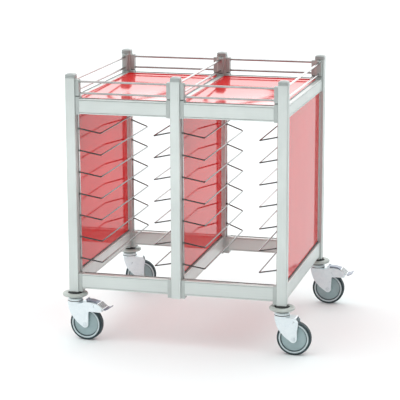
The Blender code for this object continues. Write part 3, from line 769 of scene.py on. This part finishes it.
def add_head(name, place):
    """Swivel head: a pressed cup with a ball race line under a plain washer; the washer and the race line are
    near-black, painted shade under the bumper and in the groove.
    """
    bore = PIN_RADIUS + GAP
    profile = [(bore, CROWN + 0.008), (bore, CUP_TOP), (0.018, CUP_TOP), (0.018, CROWN + 0.0195)]
    profile += [(0.022, CROWN + 0.0188), (CUP_RADIUS - 0.003, CROWN + 0.0165), (CUP_RADIUS, CROWN + 0.0125),
                (CUP_RADIUS, CROWN + 0.0080), (CUP_RADIUS - 0.0022, CROWN + 0.0072),
                (CUP_RADIUS - 0.0022, CROWN + 0.0056), (CUP_RADIUS, CROWN + 0.0048),
                (CUP_RADIUS, CROWN + 0.0006), (CUP_RADIUS - 0.001, CROWN - 0.0002), (0.012, CROWN - 0.0002)]
    profile += [(0.012, CROWN + 0.008)]
    bm = bmesh.new()
    add_lathe(bm, profile, 72, place, closed=True)
    # The washer and the race groove take the near-black material as painted shade.
    for face in bm.faces:
        height = face.calc_center_median().z - CROWN
        if height > 0.0172 or 0.0050 < height < 0.0070:
            face.material_index = 1
    head = finish_mesh(f"swivel_head_{name}", bm, [ZINC, PAINTED_SHADE_DARK], 35.0)
    settle(head, f"swivel_{name}", "zinc")


def add_bolt(name, place):
    """Axle bolt with a chamfered hexagon and washer on each side."""
    bm = bmesh.new()
    axle = place @ ON_AXLE
    outer = FORK_HALF_WIDTH
    add_lathe(bm, [(0, -outer), (AXLE_RADIUS, -outer), (AXLE_RADIUS, outer), (0, outer)], 32, axle)
    for side in (-1, 1):
        flip = axle @ Matrix.Rotation(math.pi if side < 0 else 0.0, 4, "X")
        washer = [(0, outer + 0.0001), (0.0082, outer + 0.0001), (0.0082, outer + 0.0008),
                  (0, outer + 0.0008)]
        add_lathe(bm, washer, 40, flip)
        hexagon = [(0, outer + 0.0007), (0.0064, outer + 0.0007), (0.0064, outer + 0.0022),
                   (0.0056, outer + 0.0030), (0, outer + 0.0030)]
        add_lathe(bm, hexagon, 6, flip)
    bolt = finish_mesh(f"axle_bolt_{name}", bm, [BOLT_STEEL])
    soften(bolt, 0.0002)
    settle(bolt, f"swivel_{name}", "zinc")


def make_wheel(name):
    """Wheel centre with a stepped web, a rim band lightened as painted highlight and a groove darkened as painted
    shade, and its rubber tyre.
    """
    body = f"wheel_{name}"
    axle = caster_frame(name) @ ON_AXLE
    hub = 0.0185
    half = [(AXLE_RADIUS + GAP, hub), (0.0140, hub), (0.0155, hub - 0.0010), (0.0175, 0.0108), (0.0220, 0.0096),
            (0.0400, 0.0086), (0.0428, 0.0092), (0.0440, 0.0092), (0.0458, 0.0080), (0.0478, 0.0080),
            (0.0486, 0.0090), (0.0492, 0.0128), (0.0500, 0.0137), (0.0520, 0.0139), (0.0538, 0.0136),
            (TYRE_INNER - GAP, 0.0126)]
    profile = half + [(radius, -height) for radius, height in reversed(half)]
    bm = bmesh.new()
    add_lathe(bm, profile, 96, axle, closed=True)
    inverse = axle.inverted()
    for face in bm.faces:
        spot = inverse @ face.calc_center_median()
        radius = math.hypot(spot.x, spot.y)
        # The rim band takes the light painted highlight, the groove inside it the dark painted shade.
        face.material_index = 1 if radius > 0.0489 else 2 if radius > 0.0462 else 0
    core = finish_mesh(f"wheel_centre_{name}", bm, [WHEEL_PLASTIC, RIM_BAND_HIGHLIGHT, WHEEL_GROOVE_SHADE], 28.0)
    settle(core, body, "wheel", f"wheel_core_{name}")

    side = [(TYRE_INNER, 0.0128), (0.0560, 0.0140), (0.0572, 0.0146), (0.0588, 0.0143)]
    side += [(WHEEL_RADIUS - 0.0060 + r, 0.0080 + h) for r, h in reversed(arc((0, 0), 0.0060, 8, 72, 8))]
    side += [(WHEEL_RADIUS, 0.0074), (WHEEL_RADIUS, 0.0004), (WHEEL_RADIUS - 0.0002, 0.0)]
    profile = side + [(radius, -height) for radius, height in reversed(side[:-1])]
    bm = bmesh.new()
    add_lathe(bm, profile, 128, axle, closed=True)
    tyre = finish_mesh(f"tread_{name}", bm, [TYRE], 40.0)
    settle(tyre, body, "tyre", f"tyre_{name}")


def make_pedal(name):
    """A pressed lever over the hood, a ribbed tread plate and an upturned toe."""
    x, z = PEDAL_PIVOT
    line = [(x, z + 0.0010, 0.0140), (0.070, 0.1520, 0.0140), (0.088, 0.1475, 0.0140),
            (*TREAD_START, 0.0245), (*TREAD_END, 0.0250), (0.127, 0.1235, 0.0250), (0.1412, 0.1310, 0.0235)]
    path = eased(line, 0.006, 5, closed=False)
    place = caster_frame(name)
    bm = bmesh.new()
    rings = []
    for i, (px, half, pz) in enumerate((a, c, b) for a, b, c in path):
        behind = path[max(0, i - 1)]
        ahead = path[min(len(path) - 1, i + 1)]
        slope = Vector((ahead[0] - behind[0], 0, ahead[1] - behind[1])).normalized()
        normal = Vector((-slope.z, 0, slope.x)) * PEDAL_SHEET / 2
        middle = Vector((px, 0, pz))
        side = Vector((0, half, 0))
        rings.append([place @ corner for corner in (middle - normal - side, middle - normal + side,
                                                    middle + normal + side, middle + normal - side)])
    loft(bm, rings)
    for face in bm.faces:
        if 0.095 < (place.inverted() @ face.calc_center_median()).x < 0.122:
            face.material_index = 1
    run = TREAD_END[0] - TREAD_START[0]
    fall = TREAD_END[1] - TREAD_START[1]
    lean = math.atan2(fall, run)
    # The ribs take the near-black material: painted shade drawn as dark rib lines on the tread.
    for rib in range(6):
        t = 0.10 + 0.16 * rib
        spot = Vector((TREAD_START[0] + run * t, 0, TREAD_START[1] + fall * t))
        up = Vector((-math.sin(lean), 0, math.cos(lean)))
        start = spot + up * (PEDAL_SHEET / 2 + 0.0002)
        bar = [place @ (start + Vector((0, y, 0))) for y in (-0.0225, -0.0215, 0.0215, 0.0225)]
        add_tube(bm, bar, 0.0011, 8, 2)
    turned = Matrix.Translation((x, 0, z)) @ Matrix.Rotation(math.radians(90), 4, "X")
    barrel = [(0, -0.0179), (0.0025, -0.0179), (0.0025, -0.0150), (0.0045, -0.0150),
              (0.0045, 0.0150), (0.0025, 0.0150), (0.0025, 0.0179), (0, 0.0179)]
    add_lathe(bm, barrel, 24, place @ turned)
    piece = finish_mesh(f"pedal_plate_{name}", bm, [PEDAL_STEEL, TREAD_STEEL, PAINTED_SHADE_DARK], 35.0)
    soften(piece, 0.0005)
    settle(piece, f"pedal_{name}", "pedal", f"brake_pedal_{name}")
    make_ears(name, place)


def make_ears(name, place):
    """Two lugs on the hood that hold the pedal's pin."""
    x, z = PEDAL_PIVOT
    foot = CROWN + 0.0005
    outline = [(x - 0.007, foot), (x + 0.007, foot)] + arc((x, z), 0.0055, 0, 180, 14)
    bm = bmesh.new()
    for side in (-1, 1):
        add_prism(bm, outline, "XZ", side * 0.0155, side * 0.0185)
    bmesh.ops.transform(bm, matrix=place, verts=bm.verts)
    piece = finish_mesh(f"pedal_lugs_{name}", bm, [ZINC])
    soften(piece, 0.0005)
    settle(piece, f"swivel_{name}", "zinc")


# ---------------------------------------------------------------- stage

FLOOR_RADIUS = 14.0
BAY_LIGHTS = (("left_bay_light", -0.075), ("right_bay_light", 0.315))
SIDE_GLOW = 1.30
RIGHT_GLOW = 0.32
BACK_GLOW = 2.05
FRONT_GLOW = 0.12
TOP_GLOW = 1.44


def make_floor():
    bm = bmesh.new()
    loft(bm, [[(a, b, z) for a, b in arc((0, 3), FLOOR_RADIUS, 0, 360 - 7.5, 47)] for z in (-0.05, 0.0)])
    floor = finish_mesh("studio_floor", bm, [FLOOR])


def make_world():
    """A studio bright behind and above, softer at the sides and dim low down in front."""
    world = bpy.data.worlds.new("studio")
    bpy.context.scene.world = world
    world.use_nodes = True
    nodes = world.node_tree.nodes
    links = world.node_tree.links
    background = nodes["Background"]
    direction = nodes.new("ShaderNodeTexCoord").outputs["Generated"]
    parts = nodes.new("ShaderNodeSeparateXYZ")
    links.new(direction, parts.inputs[0])

    def fade(source, start, end, low, high):
        item = nodes.new("ShaderNodeMapRange")
        item.interpolation_type = "SMOOTHSTEP"
        for name, value in (("From Min", start), ("From Max", end), ("To Min", low), ("To Max", high)):
            item.inputs[name].default_value = value
        links.new(source, item.inputs["Value"])
        return item.outputs["Result"]

    def combine(operation, first, second):
        item = nodes.new("ShaderNodeMath")
        item.operation = operation
        links.new(first, item.inputs[0])
        links.new(second, item.inputs[1])
        return item.outputs[0]

    behind = fade(parts.outputs["Y"], 0.10, 0.80, SIDE_GLOW, BACK_GLOW)
    ahead = fade(parts.outputs["Y"], -0.15, -0.75, 0.0, FRONT_GLOW - SIDE_GLOW)
    right = fade(parts.outputs["X"], 0.20, 0.80, 0.0, RIGHT_GLOW - SIDE_GLOW)
    round_about = combine("ADD", combine("ADD", behind, ahead), right)
    low = combine("MULTIPLY", round_about, fade(parts.outputs["Z"], 0.30, 0.70, 1.0, 0.0))
    high = fade(parts.outputs["Z"], 0.30, 0.70, 0.0, TOP_GLOW)
    links.new(combine("ADD", low, high), background.inputs["Strength"])
    background.inputs["Color"].default_value = (1.0, 1.0, 1.0, 1.0)


def add_area(name, place, target, size, power):
    light = bpy.data.lights.new(name, "AREA")
    light.shape = "RECTANGLE"
    light.size, light.size_y = size
    light.energy = power
    lamp = bpy.data.objects.new(name, light)
    bpy.context.scene.collection.objects.link(lamp)
    lamp.location = place
    lamp.rotation_mode = "QUATERNION"
    lamp.rotation_quaternion = (Vector(target) - Vector(place)).to_track_quat("-Z", "Y")


def make_camera():
    """The camera that matches the view: its direction, distance and slight roll."""
    turn = 0.2574
    tilt = 0.2223
    roll = -0.0036
    distance = 6.2774
    target = Vector((-0.0499, 0.0, 0.4703))
    forward = Vector((-math.sin(turn) * math.cos(tilt), math.cos(turn) * math.cos(tilt), -math.sin(tilt)))
    right = Vector((math.cos(turn), math.sin(turn), 0.0))
    up = right.cross(forward)
    side = right * math.cos(roll) + up * math.sin(roll)
    top = up * math.cos(roll) - right * math.sin(roll)
    data = bpy.data.cameras.new("camera")
    data.lens = 148.97
    data.sensor_width = 36.0
    camera = bpy.data.objects.new("camera", data)
    bpy.context.scene.collection.objects.link(camera)
    basis = Matrix((side, top, -forward)).transposed()
    camera.matrix_world = Matrix.Translation(target - forward * distance) @ basis.to_4x4()
    bpy.context.scene.camera = camera


def build():
    make_camera()
    for column in COLUMNS:
        for row in ("front", "rear"):
            dress(f"post_{row}_{column}", POST_METAL, 0.0005)
            make_cap(f"{row}_{column}")
        dress(f"panel_{column}", RED, 0.0006)
        make_strips(column)
    for node in sorted(frame["nodes"]):
        if node.startswith(("top_rail", "bottom_rail")):
            make_rail(node)
        if node.startswith("gallery"):
            make_gallery(node)
    for bay in ("left", "right"):
        make_shelf(bay)
        for label in ("left", "right"):
            make_rack(bay, label)
    for name in CASTERS:
        make_bumper(name)
        make_fork(name)
        make_wheel(name)
    for name in BRAKED:
        make_pedal(name)
    make_floor()
    make_world()
    add_area("key_light", (-1.2, -1.8, 3.0), (0, 0, 0.5), (1.8, 0.35), 2.5)
    add_area("low_light", (-0.4, -2.0, 0.44), (0, 0, 0.20), (1.8, 0.36), 4.2)
    for name, place in BAY_LIGHTS:
        add_area(name, (place, 0.0, 0.55), (place - 1.0, 0.0, 0.55), (0.50, 0.22), 0.85)
    add_area("under_light", (-0.05, 0.0, 0.185), (-0.05, 0.001, 0.0), (0.60, 0.50), 0.12)
    bpy.context.scene.view_settings.view_transform = "Standard"


build()
